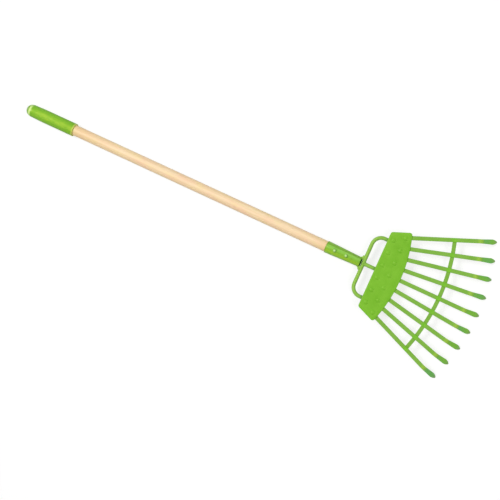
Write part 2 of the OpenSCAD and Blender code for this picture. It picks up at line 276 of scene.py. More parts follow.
class Value:
    """A number on a node's socket. The usual signs on it add Math nodes."""

    def __init__(self, nodes, socket):
        self.nodes = nodes
        self.socket = socket

    def other(self, name):
        """Another output of the same node."""
        return Value(self.nodes, self.socket.node.outputs[name])

    def maths(self, operation, *terms):
        """A Math node on the terms."""
        return self.nodes.add(
            "ShaderNodeMath", {"operation": operation}, dict(enumerate(terms)))

    def __add__(self, term):
        return self.maths("ADD", self, term)

    def __radd__(self, term):
        return self.maths("ADD", term, self)

    def __sub__(self, term):
        return self.maths("SUBTRACT", self, term)

    def __rsub__(self, term):
        return self.maths("SUBTRACT", term, self)

    def __mul__(self, term):
        return self.maths("MULTIPLY", self, term)

    def __rmul__(self, term):
        return self.maths("MULTIPLY", term, self)

    def __truediv__(self, term):
        return self.maths("DIVIDE", self, term)

    def __rtruediv__(self, term):
        return self.maths("DIVIDE", term, self)

    def __pow__(self, term):
        return self.maths("POWER", self, term)

    def __abs__(self):
        return self.maths("ABSOLUTE", self)

    def root(self):
        return self.maths("SQRT", self)

    def sine(self):
        return self.maths("SINE", self)

    def cosine(self):
        return self.maths("COSINE", self)

    def sign(self):
        return self.maths("SIGN", self)

    def least(self, term):
        return self.maths("MINIMUM", self, term)

    def most(self, term):
        return self.maths("MAXIMUM", self, term)

    def within(self, low, high):
        return self.most(low).least(high)


class Nodes:
    """The nodes of one material or one geometry tree."""

    def __init__(self, tree):
        self.tree = tree

    def add(self, kind, settings=None, sockets=None, take=0):
        """A node of a kind: its settings first, then the values or links of its sockets.
        Take says which output is given back."""
        node = self.tree.nodes.new(kind)
        for name, setting in (settings or {}).items():
            setattr(node, name, setting)
        for name, value in (sockets or {}).items():
            for term in value if isinstance(value, list) else [value]:
                if isinstance(term, Value):
                    self.tree.links.new(term.socket, node.inputs[name])
                else:
                    node.inputs[name].default_value = term
        return Value(self, node.outputs[take] if len(node.outputs) else None)

    def vector(self, x=0.0, y=0.0, z=0.0):
        """Three numbers as a vector."""
        return self.add("ShaderNodeCombineXYZ", {}, {0: x, 1: y, 2: z})

    def split(self, vector):
        """A vector's three numbers."""
        x = self.add("ShaderNodeSeparateXYZ", {}, {0: vector})
        return x, x.other("Y"), x.other("Z")


def linear(red, green, blue):
    """A colour as a screen shows it, from 0 to 255, turned into the shader's own scale."""
    def channel(value):
        share = value / 255
        return share / 12.92 if share <= 0.04045 else ((share + 0.055) / 1.055) ** 2.4
    return (channel(red), channel(green), channel(blue), 1.0)


# Materials

class Finish:
    """One material in the making: its nodes, its shader, and the place on the rake as it
    was drawn, along the pole's axis."""

    def __init__(self, name):
        self.material = bpy.data.materials.new(name)
        self.material.use_nodes = True
        self.material.node_tree.nodes.clear()
        self.nodes = Nodes(self.material.node_tree)
        place = self.nodes.add("ShaderNodeTexCoord", {}, {}, "Object")
        self.place = self.nodes.add("ShaderNodeMapping", {}, {
            "Vector": place, "Rotation": (0, REST_TILT, 0), "Location": -LAID_SHIFT})
        self.colour = None

    def stretched(self, x, y, z, shift=(0, 0, 0)):
        """The place on the object, stretched along each axis."""
        return self.nodes.add("ShaderNodeMapping", {}, {
            "Vector": self.place, "Scale": (x, y, z), "Location": shift})

    def noise(self, scale, detail=3.0, roughness=0.5, distortion=0.0, place=None):
        """Noise at the place on the object, or at a stretched one."""
        return self.nodes.add("ShaderNodeTexNoise", {}, {
            "Vector": place or self.place, "Scale": scale, "Detail": detail,
            "Roughness": roughness, "Distortion": distortion})

    def blend(self, share, first, second):
        """Two colours mixed by a share."""
        return self.nodes.add(
            "ShaderNodeMix", {"data_type": "RGBA"}, {0: share, 6: first, 7: second}, 2)

    def tint(self, share, colour):
        """Lays another colour over the one so far, by a share."""
        self.colour = self.blend(share, self.colour, colour)

    def ramp(self, value, low, high):
        """A value spread so that low becomes 0 and high becomes 1."""
        return ((value - low) / (high - low)).within(0.0, 1.0)

    def mark(self, name):
        """A number that a piece's own mesh carries from point to point."""
        return self.nodes.add("ShaderNodeAttribute", {"attribute_name": name}, {}, "Fac")

    def bump(self, height, distance, under=None):
        """The normal of a height that stands out by a distance, on top of another."""
        sockets = {"Height": height, "Distance": distance, "Strength": 1.0}
        if under:
            sockets["Normal"] = under
        return self.nodes.add("ShaderNodeBump", {}, sockets)

    def shade(self, **sockets):
        """The surface itself; names are the shader's sockets, with _ for a space."""
        named = {name.replace("_", " "): value for name, value in sockets.items()}
        named["Base Color"] = self.colour
        surface = self.nodes.add("ShaderNodeBsdfPrincipled", {}, named)
        self.nodes.add("ShaderNodeOutputMaterial", {}, {"Surface": surface})
        return self.material


def lacquered_wood():
    """Pale turned wood under a thin satin lacquer, its grain along the pole."""
    finish = Finish("lacquered_wood")
    # Growth rings about a heart that lies beside the pole, cut lengthwise
    rings = finish.nodes.add(
        "ShaderNodeTexWave",
        {"wave_type": "RINGS", "rings_direction": "X", "wave_profile": "SIN"},
        {"Vector": finish.stretched(0.16, 1.0, 1.0, WOOD_HEART),
         "Scale": 95.0, "Distortion": 5.5, "Detail": 3.0, "Detail Scale": 0.6,
         "Detail Roughness": 0.55}, "Fac")
    streaks = finish.noise(1.0, 4.0, 0.6, 0.4, finish.stretched(9.0, 420.0, 420.0))
    fibres = finish.noise(1.0, 2.0, 0.5, 0.0, finish.stretched(60.0, 3800.0, 3800.0))
    clouds = finish.noise(1.0, 2.0, 0.5, 0.3, finish.stretched(26.0, 95.0, 95.0))
    flush = finish.noise(1.0, 2.0, 0.6, 0.3, finish.stretched(34.0, 120.0, 120.0, (3, 1, 2)))
    pores = finish.noise(1.0, 1.0, 0.5, 0.0, finish.stretched(130.0, 2300.0, 2300.0))
    late = finish.ramp(rings, 0.35, 1.0) ** 2.0
    finish.colour = finish.blend(late * 0.5, linear(251, 223, 184), linear(240, 204, 154))
    finish.tint(finish.ramp(streaks, 0.38, 0.72) * 0.5, linear(243, 207, 160))
    finish.tint(finish.ramp(clouds, 0.44, 0.62) * 0.5, linear(253, 206, 172))
    finish.tint(finish.ramp(flush, 0.46, 0.64) * 0.45, linear(246, 224, 160))
    finish.tint(finish.ramp(fibres, 0.5, 0.8) * 0.25, linear(226, 186, 134))
    # Yellower, darker wood beside the grip, which is painted shade, and beside the ferrule
    along = finish.nodes.split(finish.place)[0]
    painted_shade_by_grip = 1 - finish.ramp(along, GRIP_LEN, GRIP_LEN + YELLOW_BY_GRIP)
    by_ferrule = finish.ramp(along, MOUTH_X - YELLOW_BY_FERRULE, MOUTH_X)
    finish.tint(painted_shade_by_grip.most(by_ferrule) * 0.5, linear(240, 204, 142))
    pore = finish.ramp(pores, 0.68, 0.78)
    finish.tint(pore * 0.4, linear(196, 150, 100))
    grain = fibres * 0.5 + streaks * 0.6 - pore * 0.6
    return finish.shade(
        Roughness=0.42 + streaks * 0.16 - late * 0.05,
        Specular_IOR_Level=0.4,
        Coat_Weight=0.12 + clouds * 0.12,
        Coat_Roughness=0.3,
        Normal=finish.bump(grain, GRAIN_HEIGHT))


class Coat(Finish):
    """Leaf-green powder coat on steel, its colour wandering between two tones."""

    def __init__(self, name, deep, pale):
        super().__init__(name)
        self.peel = self.noise(1500.0, 2.0, 0.5, 0.2)
        self.fine = self.noise(4200.0, 1.0, 0.5)
        self.tone = self.noise(48.0, 3.0, 0.6, 0.3)
        self.colour = self.blend(self.ramp(self.tone, 0.3, 0.7), deep, pale)
        self.tint(self.ramp(self.peel, 0.55, 0.8) * 0.25, linear(140, 204, 60))
        self.tint(self.ramp(self.fine, 0.62, 0.8) * 0.2, linear(104, 170, 34))

    def close(self, polish=0.0):
        """Gives the coat its soft gloss and its orange peel."""
        hills = self.bump(self.noise(85.0, 1.0, 0.4), HILL_HEIGHT)
        return self.shade(
            Roughness=0.36 - polish + self.tone * 0.1 + self.fine * 0.06,
            Specular_IOR_Level=0.4,
            Specular_Tint=COAT_GLEAM,
            Coat_Weight=0.02 + self.peel * 0.04,
            Coat_Roughness=0.25,
            Normal=self.bump(self.peel + self.fine * 0.35, PEEL_HEIGHT, hills))


def sheet_coat():
    """The coat on the head's two plates and their rivets."""
    return Coat("sheet_coat", linear(107, 177, 36), linear(118, 186, 46)).close()


def strip_coat():
    """The coat on tines and brace: fresher at the spot welds, with a painted highlight on each
    bend and a painted cooler shade and reflection on the tips."""
    coat = Coat("strip_coat", linear(114, 170, 60), linear(125, 179, 72))
    # Painted shade and reflection on the tips, cooler, wandering between two tones
    shade = coat.ramp(coat.noise(26.0, 1.0, 0.4), 0.4, 0.62)
    painted_tip_reflection = coat.blend(shade, linear(106, 186, 98), linear(128, 198, 68))
    # A painted highlight on each bend
    coat.tint(coat.mark("crown") * 0.7, linear(160, 204, 70))
    coat.tint(coat.mark("tip") * 0.85, painted_tip_reflection)
    coat.tint(coat.mark("point") * 0.6, linear(138, 148, 116))
    coat.tint(coat.mark("spot") * 0.85, linear(112, 189, 42))
    return coat.close()


def rod_coat():
    """The coat on rods and welds, with painted shade where the rods go under the head."""
    coat = Coat("rod_coat", linear(130, 182, 66), linear(145, 196, 84))
    along = coat.nodes.split(coat.place)[0]
    # Painted shade on the rods just before they go under the head
    coat.tint(coat.ramp(along, HEAD_X - PAINTED_SHADE_BY_HEAD, HEAD_X) * 0.6, linear(74, 146, 70))
    return coat.close(0.1)


def ferrule_coat():
    """The coat on the ferrule: uneven, with painted highlights along it, limier on one side and
    cooler on the other with a painted line of shade beside it, darker and olive at its mouth and
    thick inside."""
    coat = Coat("ferrule_coat", linear(118, 174, 46), linear(134, 190, 62))
    x, y, z = coat.nodes.split(coat.place)

    def painted_light_band(middle, half_width):
        """A soft line along the tube; its place and width are shares of the radius."""
        return (1 - abs(y - middle * MOUTH_R) / (half_width * MOUTH_R)).within(0.0, 1.0)

    patch = coat.ramp(coat.noise(170.0, 2.0, 0.55, 0.4), 0.36, 0.66)
    # Painted highlights along the tube, lime on one side and cool on the other, patchy
    coat.tint(painted_light_band(-0.5, 0.42) * (0.5 + patch * 0.5), linear(166, 208, 40))
    coat.tint(painted_light_band(0.35, 0.4) * (0.35 + patch * 0.5), linear(150, 214, 98))
    coat.tint(coat.ramp(patch, 0.6, 1.0) * 0.45, linear(92, 170, 40))
    # A painted line of shade beside the cool highlight
    coat.tint(painted_light_band(0.62, 0.16) * 0.5, linear(96, 138, 40))
    # Darker and more olive over the rim at its mouth
    mouth = 1 - coat.ramp(x, MOUTH_X + MOUTH_TINT_START, MOUTH_X + MOUTH_TINT_END)
    coat.tint(mouth * 0.45, linear(122, 138, 52))
    within = 1 - coat.ramp((y * y + z * z).root(), FERRULE_END_R - FERRULE_WALL,
                           FERRULE_END_R - FERRULE_WALL / 2)
    coat.tint(within * 0.9, linear(104, 196, 14))
    return coat.close(0.08)


def glint_coat():
    """The coat on the ferrule's rivets, with a painted highlight on top of their heads."""
    coat = Coat("glint_coat", linear(88, 150, 48), linear(108, 168, 60))
    # A painted highlight on each head, where the rivet tree marks it
    coat.tint(coat.mark("worn") * 0.75, linear(212, 242, 168))
    return coat.close(0.12)


def glossy_sleeve():
    """Bright green soft plastic, with a painted highlight, paler and yellower, along its top,
    painted shade underneath, a painted highlight ring round its moulded dome with painted shade at
    its end, and a painted highlight on its open lip."""
    finish = Finish("glossy_sleeve")
    tone = finish.noise(45.0, 2.0, 0.5, 0.2)
    flow = finish.noise(1.0, 3.0, 0.5, 0.5, finish.stretched(80.0, 260.0, 260.0))
    leather = finish.noise(2600.0, 2.0, 0.5)
    flecks = finish.noise(1.0, 2.0, 0.6, 0.6, finish.stretched(150.0, 520.0, 520.0))
    x, _, z = finish.nodes.split(finish.place)
    dome = 1 - finish.ramp(x, DOME_R * 0.9, DOME_R * 1.3)
    # Where the painted highlight on the open lip goes
    lip = finish.ramp(x, GRIP_LEN - 1.2 * LIP_LEN, GRIP_LEN - 0.6 * LIP_LEN)
    # The upper side, where the painted highlight ring on the dome shows
    above = finish.ramp(z, 0.15 * GRIP_R, 0.75 * GRIP_R)
    # A painted highlight along the top, uneven with the flow
    painted_top_highlight = finish.ramp(z, 0.84 * GRIP_R, GRIP_R) * (0.2 + finish.ramp(flow, 0.36, 0.62))
    painted_top_highlight = painted_top_highlight.least(1.0)
    # Painted shade on the underside
    under = 1 - finish.ramp(z, 0.2 * GRIP_R, 0.8 * GRIP_R)
    # A painted highlight ring round the dome
    ring = (1 - abs(x - 0.86 * DOME_R) / (0.26 * DOME_R)).within(0.0, 1.0) ** 0.6
    # Painted shade at the dome's end
    painted_dome_end_shade = 1 - finish.ramp(x, 0.45 * DOME_R, 0.62 * DOME_R)
    finish.colour = finish.blend(tone, linear(122, 183, 45), linear(134, 193, 55))
    finish.tint(finish.ramp(flow, 0.5, 0.75) * 0.35, linear(152, 198, 60))
    # Painted light over the plastic's tones: shade underneath, a highlight along the top with
    # flecks in it, a highlight on the lip, shade at the dome's end and a highlight ring round the
    # dome
    finish.tint(under * 0.5, linear(106, 166, 50))
    finish.tint(painted_top_highlight * 0.6, linear(172, 212, 70))
    finish.tint(finish.ramp(flecks, 0.56, 0.7) * painted_top_highlight * 0.5, linear(204, 206, 62))
    finish.tint(lip * 0.7, linear(208, 208, 106))
    finish.tint(painted_dome_end_shade * 0.7, linear(118, 150, 66))
    finish.tint(ring * above * 0.9, linear(232, 254, 166))
    return finish.shade(
        Roughness=0.42 + flow * 0.1 + leather * 0.05 - dome * 0.14,
        Specular_IOR_Level=0.3,
        Specular_Tint=SLEEVE_GLEAM,
        Coat_Weight=0.02 + dome * 0.3,
        Coat_Roughness=0.14,
        Normal=finish.bump(leather, LEATHER_HEIGHT, finish.bump(flow, FLOW_HEIGHT)))


# Meshes

def skin(rings, loop=False):
    """A closed surface through rings of points. Its ends are closed, or meet in a loop.
    A ring of a single point is a pole."""
    mesh = bmesh.new()
    rows = [[mesh.verts.new(point) for point in ring] for ring in rings]
    pairs = list(zip(rows, rows[1:]))
    if loop:
        pairs.append((rows[-1], rows[0]))
    for first, second in pairs:
        count = max(len(first), len(second))
        for k in range(count):
            after = (k + 1) % count
            corners = [first[k % len(first)]]
            if len(first) > 1:
                corners.append(first[after])
            if len(second) > 1:
                corners.append(second[after])
            corners.append(second[k % len(second)])
            mesh.faces.new(corners)
    if not loop:
        for row in (rows[0], rows[-1]):
            if len(row) > 1:
                mesh.faces.new(row)
    return mesh


def ring_at(x, radius, sides=TURNED_SIDES):
    """A circle about the pole's axis; with no radius, a single point."""
    if radius <= 0:
        return [Vector((x, 0, 0))]
    turns = [2 * math.pi * k / sides for k in range(sides)]
    return [Vector((x, radius * math.cos(a), radius * math.sin(a))) for a in turns]


def turned(profile, loop=False):
    """A profile of stations and radii, turned about the pole's axis."""
    return skin([ring_at(x, radius) for x, radius in profile], loop)


def arc(centre, radius, start, end, steps):
    """Points of an arc in a plane, from one angle to another, in radians."""
    angles = [start + (end - start) * k / steps for k in range(steps + 1)]
    return [(centre[0] + radius * math.cos(a), centre[1] + radius * math.sin(a))
            for a in angles]


def put_in_scene(name, data):
    """A new object that holds a mesh, a lamp or a camera."""
    thing = bpy.data.objects.new(name, data)
    bpy.context.scene.collection.objects.link(thing)
    return thing


def settle(mesh, name, material, lay=True):
    """Turns a bmesh into a finished piece: normals out, smooth but for its creases,
    and laid down as the rake lies."""
    bmesh.ops.remove_doubles(mesh, verts=mesh.verts, dist=SAME_PLACE)
    bmesh.ops.recalc_face_normals(mesh, faces=mesh.faces)
    for edge in mesh.edges:
        edge.smooth = edge.calc_face_angle(0.0) < CREASE
    for face in mesh.faces:
        face.smooth = True
        face.material_index = 0
    if lay:
        mesh.transform(LAY)
    data = bpy.data.meshes.new(name)
    mesh.to_mesh(data)
    mesh.free()
    data.materials.append(material)
    return put_in_scene(name, data)


def evaluated(holder):
    """The holder's mesh with its modifiers run, as a bmesh. The holder goes."""
    graph = bpy.context.evaluated_depsgraph_get()
    data = bpy.data.meshes.new_from_object(holder.evaluated_get(graph))
    mesh = bmesh.new()
    mesh.from_mesh(data)
    bpy.data.objects.remove(holder)
    bpy.data.meshes.remove(data)
    return mesh


def as_data(mesh):
    """The bmesh as mesh data. The bmesh goes."""
    data = bpy.data.meshes.new("part")
    mesh.to_mesh(data)
    mesh.free()
    return data


def drilled(mesh, reach):
    """The mesh with upright holes for the ferrule's rivets through the pole's axis."""
    drills = bmesh.new()
    for x in PIN_STATIONS:
        bmesh.ops.create_cone(
            drills, cap_ends=True, segments=HOLE_SIDES, radius1=PIN_HOLE_R,
            radius2=PIN_HOLE_R, depth=2 * reach, matrix=Matrix.Translation((x, 0, 0)))
    tool = put_in_scene("drills", as_data(drills))
    holder = put_in_scene("holder", as_data(mesh))
    cut = holder.modifiers.new("Drill", "BOOLEAN")
    cut.operation = "DIFFERENCE"
    cut.solver = "EXACT"
    cut.object = tool
    result = evaluated(holder)
    bpy.data.objects.remove(tool)
    return result


# Geometry trees

def geometry_tree(name, sizes):
    """A new geometry tree with a mesh input and named number inputs."""
    tree = bpy.data.node_groups.new(name, "GeometryNodeTree")
    tree.interface.new_socket("Geometry", in_out="OUTPUT", socket_type="NodeSocketGeometry")
    tree.interface.new_socket("Geometry", in_out="INPUT", socket_type="NodeSocketGeometry")
    for size, value in sizes.items():
        kind = "NodeSocketInt" if isinstance(value, int) else "NodeSocketFloat"
        socket = tree.interface.new_socket(size, in_out="INPUT", socket_type=kind)
        socket.default_value = value
    nodes = Nodes(tree)
    given = nodes.add("NodeGroupInput")
    return nodes, given, {size: given.other(size) for size in sizes}


def close_tree(nodes, geometry, material):
    """Ends a tree: its instances made real, its material set."""
    real = nodes.add("GeometryNodeRealizeInstances", {}, {"Geometry": geometry})
    painted = nodes.add(
        "GeometryNodeSetMaterial", {}, {"Geometry": real, "Material": material})
    nodes.add("NodeGroupOutput", {}, {"Geometry": painted})
    return nodes.tree


def grow(tree, points, sizes, closed=None):
    """Runs a tree on points, or on a line through them if closed says whether it is a
    loop, and returns its mesh."""
    count = len(points)
    edges = [] if closed is None else [(k, k + 1) for k in range(count - 1)]
    if closed:
        edges.append((count - 1, 0))
    seed = bpy.data.meshes.new("seed")
    seed.from_pydata([tuple(point) for point in points], edges, [])
    holder = put_in_scene("holder", seed)
    growth = holder.modifiers.new("Grow", "NODES")
    growth.node_group = tree
    for item in tree.interface.items_tree:
        if item.in_out == "INPUT" and item.name in sizes:
            growth[item.identifier] = sizes[item.name]
    return evaluated(holder)


def position(nodes):
    """The three numbers of a point's place."""
    return nodes.split(nodes.add("GeometryNodeInputPosition"))


def moved(nodes, geometry, x, y, z):
    """The geometry with each of its points at another place."""
    return nodes.add("GeometryNodeSetPosition", {}, {
        "Geometry": geometry, "Position": nodes.vector(x, y, z)})


def marked(nodes, geometry, name, value):
    """Keeps a number for each point under a name that the coat reads."""
    return nodes.add(
        "GeometryNodeStoreNamedAttribute", {"data_type": "FLOAT", "domain": "POINT"},
        {"Geometry": geometry, "Name": name, "Value": value})


def given_line(nodes, given):
    """The edges that a tree is given, as a curve."""
    return nodes.add("GeometryNodeMeshToCurve", {}, {"Mesh": given})


def straight_run(nodes, stations):
    """A line from x 0 to x 1 in equal steps."""
    line = nodes.add("GeometryNodeCurvePrimitiveLine", {}, {"Start": (0, 0, 0), "End": (1, 0, 0)})
    return nodes.add(
        "GeometryNodeResampleCurve", {"mode": "COUNT"}, {"Curve": line, "Count": stations})


def swept(nodes, path, profile, scale=1.0):
    """A bar with a profile's section along a path, its ends closed."""
    return nodes.add("GeometryNodeCurveToMesh", {}, {
        "Curve": path, "Profile Curve": profile, "Scale": scale, "Fill Caps": True})


def circle(nodes, sides, radius):
    """A round section for a bar."""
    return nodes.add("GeometryNodeCurvePrimitiveCircle", {"mode": "RADIUS"}, {
        "Resolution": sides, "Radius": radius})


def strip_outline(width, thickness):
    """The section of a flat strip with rounded edges, finely divided across its faces."""
    half_w, half_t, r = width / 2, thickness / 2, STRIP_EDGE_R
    corners = []
    for sx, sy, start in ((1, 1, 0), (-1, 1, 1), (-1, -1, 2), (1, -1, 3)):
        corners.append(arc((sx * (half_w - r), sy * (half_t - r)), r,
                           start * math.pi / 2, (start + 1) * math.pi / 2, ROUND_STEPS))
    points = []
    for k, corner in enumerate(corners):
        points += corner
        following = corners[(k + 1) % len(corners)][0]
        if k % 2 == 0:
            x0, y0 = corner[-1]
            points += [(x0 + (following[0] - x0) * n / STRIP_STEPS, y0)
                       for n in range(1, STRIP_STEPS)]
    return [(x, y, 0.0) for x, y in points]


def tine_tree(material):
    """A tine from a strip's section: bent down near its end, with a wider pointed tip."""
    nodes, given, size = geometry_tree("Tine", {
        "Root": HEAD_X - FAN_X, "Width": TINE_W, "Thickness": TINE_T, "Edge": STRIP_EDGE_R,
        "Bend start": BEND_START, "Bend radius": BEND_R, "Bend angle": TIP_BEND,
        "Tip length": TIP_LEN, "Tip width": TIP_W, "Tip point": TIP_POINT,
        "Tip blunt": TIP_BLUNT, "Angle": 0.0, "Centre": FAN_X, "Height": TINE_Z,
        "Spot": BRACE_X - FAN_X, "Spot radius": SPOT_R, "Spot depth": SPOT_DEPTH,
        "Crossing": BRACE_W / 2, "Fade": MARK_FADE})
    bar = swept(nodes, straight_run(nodes, TINE_STATIONS), given_line(nodes, given))
    share, across, height = position(nodes)

    # How far along the strip a point lies; stations close up towards the tip
    bend_start, bend_r, bend = size["Bend start"], size["Bend radius"], size["Bend angle"]
    end = bend_start + bend_r * bend + size["Tip length"]
    along = end - (end - size["Root"]) * (1 - share) ** TINE_CROWDING
    over = along - bend_start
    turn = (over / bend_r).within(0.0, bend)
    past = (over - bend_r * bend).most(0.0)

    # Width: the tip widens evenly, then closes in a pointed arch, rounded at its end
    half_tip = size["Tip width"] / 2
    point, edge = size["Tip point"], size["Edge"]
    arch_r = (half_tip * half_tip + point * point) / (2 * half_tip)
    arch_in = arch_r - half_tip + size["Tip blunt"] / 2
    arch_len = (arch_r * arch_r - arch_in * arch_in).root()
    widening = size["Tip length"] - arch_len
    into_arch = (past - widening).most(0.0)
    drop = arch_r - (arch_r * arch_r - into_arch * into_arch).most(0.0).root()
    near_end = (1 - (end - along) / edge).within(0.0, 1.0)
    inset = edge * (1 - (1 - near_end * near_end).root())
    half = size["Width"] / 2
    new_half = half + (half_tip - half) * (past / widening).within(0.0, 1.0) - drop - inset
    flat = half - edge
    inner = abs(across).least(flat)
    outer = abs(across) - inner
    side = across.sign() * (
        inner * (new_half - edge).most(0.0) / flat + outer * new_half.least(edge) / edge)

    # Height over the lower face, with the shallow print of the spot weld on top
    thick = size["Thickness"]
    from_spot = ((along - size["Spot"]) ** 2.0 + across * across) / size["Spot radius"] ** 2.0
    spot = (1 - from_spot).most(0.0)
    print_depth = size["Spot depth"] * spot * spot.maths("GREATER_THAN", height, 0.0)
    lift = thick / 2 + height * (1 - 2 * inset / thick) - print_depth

    out = (bend_start + over.least(0.0) + bend_r * turn.sine()
           + past * turn.cosine() + lift * turn.sine())
    up = lift * turn.cosine() - bend_r * (1 - turn.cosine()) - past * turn.sine()
    cosine, sine = size["Angle"].cosine(), size["Angle"].sine()

    # Marks for the coat: the crossing that the spot weld heated, the bend's top, where a highlight
    # is painted, the tip, where a cooler shade and reflection are painted, and its scuffed point.
    # The last two fade over a few times the fade length
    highlight_place, highlight_narrowness = 0.65, 1.8
    tip_fades, point_fades = 3, 8
    fade = size["Fade"]
    crossing = ((size["Crossing"] - abs(along - size["Spot"])) / fade + 1).within(0.0, 1.0)
    from_highlight = (over - bend_r * bend * highlight_place) / (bend_r * bend)
    crown = (1 - highlight_narrowness * from_highlight * from_highlight).most(0.0)
    painted_tip_reflection = ((over - bend_r * bend) / (tip_fades * fade)).within(0.0, 1.0)
    on_point = (1 - (end - along) / (point_fades * fade)).within(0.0, 1.0)
    for name, mark in (("spot", crossing), ("crown", crown), ("tip", painted_tip_reflection),
                       ("point", on_point)):
        bar = marked(nodes, bar, name, mark)
    shaped = moved(
        nodes, bar,
        size["Centre"] + out * cosine - side * sine,
        out * sine + side * cosine,
        size["Height"] + up)
    return close_tree(nodes, shaped, material)


def brace_tree(material):
    """The curved brace from a strip's section; its ends follow the outer tines' edges."""
    nodes, given, size = geometry_tree("Brace", {
        "Radius": BRACE_R, "Centre": BRACE_X - BRACE_R, "Height": TINE_Z - BRACE_T / 2,
        "End angle": FAN_ANGLE / 2, "End line": 0.0})
    bar = swept(nodes, straight_run(nodes, BRACE_STATIONS), given_line(nodes, given))
    share, across, height = position(nodes)
    radius = size["Radius"] - across
    # Where a circle of this radius meets the line along the outer tine's edge
    level = (size["End line"] + size["Centre"] * size["End angle"].sine()) / radius
    last = size["End angle"] + level.maths("ARCSINE", level)
    angle = (share * 2 - 1) * last
    shaped = moved(
        nodes, bar, size["Centre"] + radius * angle.cosine(),
        radius * angle.sine(), size["Height"] + height)
    return close_tree(nodes, shaped, material)


def from_nearer_end(nodes):
    """How far a point lies along its line, and how far from the nearer end of it."""
    length = nodes.add("GeometryNodeSplineParameter", {}, {}, "Length")
    total = nodes.add("GeometryNodeSplineLength", {}, {}, "Length")
    return length, length.least(total - length)


def rod_tree(material):
    """A round rod along a line, with its corners bent and its two ends chamfered."""
    nodes, given, size = geometry_tree("Rod", {
        "Radius": ROD_R, "Corner": YOKE_CORNER_R, "Chamfer": END_CHAMFER})
    path = nodes.add("GeometryNodeFilletCurve", {"mode": "POLY"}, {
        "Curve": given_line(nodes, given), "Radius": size["Corner"], "Count": BEND_STEPS})
    chamfer = size["Chamfer"]
    cut = chamfer * (1 - from_nearer_end(nodes)[1] / chamfer).within(0.0, 1.0)
    rod = swept(nodes, path, circle(nodes, ROD_SIDES, size["Radius"]),
                1 - cut / size["Radius"])
    return close_tree(nodes, rod, material)


def bead_tree(material):
    """A weld bead along a line: overlapping ripples, flat where it meets a plate."""
    nodes, given, size = geometry_tree("Bead", {
        "Radius": BEAD_R, "Ripple": BEAD_RIPPLE, "Depth": BEAD_RIPPLE_SHARE,
        "Step": BEAD_STEP, "Ceiling": HEAD_TOP, "Taper": BEAD_TAPER})
    path = nodes.add("GeometryNodeResampleCurve", {"mode": "LENGTH"}, {
        "Curve": given_line(nodes, given), "Length": size["Step"]})
    length, from_end = from_nearer_end(nodes)
    wave = abs((length * (math.pi / size["Ripple"])).sine())
    wander_pitch, wander_share, blunt_share = 420.0, 0.2, 0.25
    wander = nodes.add("ShaderNodeTexNoise", {"noise_dimensions": "1D"},
                       {"W": length * wander_pitch, "Scale": 1.0, "Detail": 1.0})
    taper = (from_end / size["Taper"]).within(0.0, 1.0)
    rounded = (1 - (1 - taper) ** 2.0).root().most(blunt_share)
    uneven = 1 - wander_share / 2 + wander * wander_share
    scale = (1 - size["Depth"] * (1 - wave)) * uneven * rounded
    bead = swept(nodes, path, circle(nodes, BEAD_SIDES, size["Radius"]), scale)
    x, y, z = position(nodes)
    return close_tree(nodes, moved(nodes, bead, x, y, z.least(size["Ceiling"])), material)


def rivet_tree(material):
    """Rivets at points: a domed head on a short foot, a shank and a flared tail."""
    nodes, given, size = geometry_tree("Rivets", {
        "Head diameter": RIVET_HEAD_D, "Head height": RIVET_HEAD_H, "Foot": DIMPLE_DEPTH,
        "Shank diameter": RIVET_D, "Shank length": HEAD_TOP - LOWER_Z,
        "Tail diameter": RIVET_TAIL_D, "Tail height": LOWER_T, "Turn": 0.0})
    radius, rise = size["Head diameter"] / 2, size["Head height"]
    ball = (radius * radius + rise * rise) / (2 * rise)
    first = (radius / ball).maths("ARCCOSINE", radius / ball)

    # The dome's line: up its foot, then as the ball rises to the top
    share = nodes.add("GeometryNodeSplineParameter", {}, {}, "Factor")
    foot_share, foot_tuck = 0.12, 0.04
    on_foot = (share / foot_share).within(0.0, 1.0)
    on_dome = ((share - foot_share) / (1 - foot_share)).within(0.0, 1.0)
    angle = first + (math.pi / 2 - first) * on_dome
    level = rise - ball + ball * angle.sine() - size["Foot"] * (1 - on_foot)
    line = moved(nodes, straight_run(nodes, RIVET_STATIONS), 0.0, 0.0, level)
    x, y, z = position(nodes)
    above = z.most(0.0) + ball - rise
    foot_ease = (1 + z / size["Foot"]).within(0.0, 1.0).root()
    ease = 1 - foot_tuck + foot_tuck * foot_ease
    width = (ball * ball - above * above).most(0.0).root() * ease
    dome = swept(nodes, line, circle(nodes, HOLE_SIDES, 1.0), width)
    dome = nodes.add("GeometryNodeMergeByDistance", {}, {"Geometry": dome, "Distance": MERGE_GAP})

    # Where a highlight is painted: round a place a little towards the grip, and less further out
    glint_core, glint_fade = 0.1, 0.7
    aside = x + radius / 4
    worn = 1 - ((aside * aside + y * y) / (radius * radius) - glint_core) / glint_fade
    dome = marked(nodes, dome, "worn", worn.within(0.0, 1.0))

    # The shank goes down from inside the head and flares into its tail
    shank_r, tail_r = size["Shank diameter"] / 2, size["Tail diameter"] / 2
    start, length = rise / 2, size["Shank length"]
    depth = start - share * (start + length)
    flare = (1 - (depth + length) / size["Tail height"]).within(0.0, 1.0)
    run = moved(nodes, straight_run(nodes, SHANK_STATIONS), 0.0, 0.0, depth)
    shank = swept(nodes, run, circle(nodes, HOLE_SIDES, 1.0),
                  shank_r + (tail_r - shank_r) * flare)
    rivet = nodes.add("GeometryNodeJoinGeometry", {}, {"Geometry": [dome, shank]})
    turn = nodes.add("FunctionNodeEulerToRotation", {}, {0: nodes.vector(size["Turn"])})
    set_out = nodes.add("GeometryNodeInstanceOnPoints", {}, {
        "Points": given, "Instance": rivet, "Rotation": turn})
    return close_tree(nodes, set_out, material)


# Pole, grip and ferrule

def ferrule_r(distance):
    """The ferrule's outer radius at a distance from its mouth."""
    return MOUTH_R + (FERRULE_END_R - MOUTH_R) * distance / FERRULE_LEN


